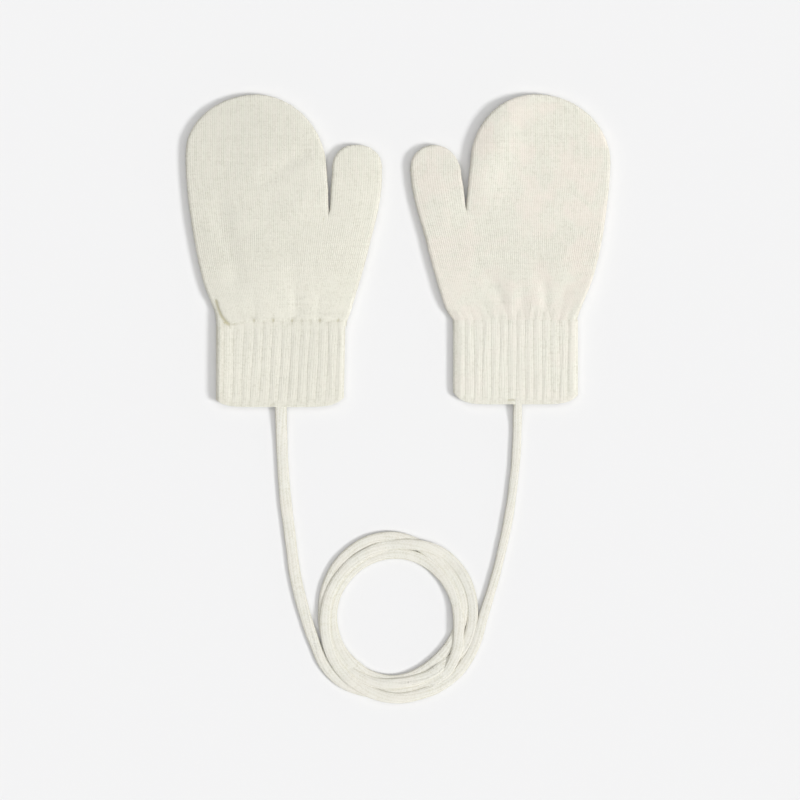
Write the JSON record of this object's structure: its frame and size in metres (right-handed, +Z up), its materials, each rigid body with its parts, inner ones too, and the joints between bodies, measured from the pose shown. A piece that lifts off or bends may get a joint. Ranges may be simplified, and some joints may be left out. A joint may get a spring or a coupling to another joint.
{
  "type": "pair of mittens",
  "caption": "Knitted baby mittens with thumbs and ribbed cuffs, laid flat and joined by one long knitted cord that lies in a loose round coil.",
  "frame": {"origin": "on the surface that the mittens lie on, below the middle of the box around the two mittens without their cord", "axes": "+Z up from the surface, +Y from the cuffs to the fingertips, +X from the left mitten to the right one as seen from above"},
  "size_m": [0.1908, 0.2737, 0.0087],
  "materials": {
    "hand_knit": "fine plain knit, soft and slightly felted, warm off-white",
    "rib_knit": "ribbed knit, soft and slightly felted, warm off-white",
    "cord_knit": "small round knitted cord, warm off-white"
  },
  "bodies": {
    "root": {"left_hand": "hand_knit", "left_cuff": "rib_knit", "right_hand": "hand_knit", "right_cuff": "rib_knit", "cord_left_run": "cord_knit", "cord_right_run": "cord_knit", "cord_coil": "cord_knit"}
  },
  "joints": []
}
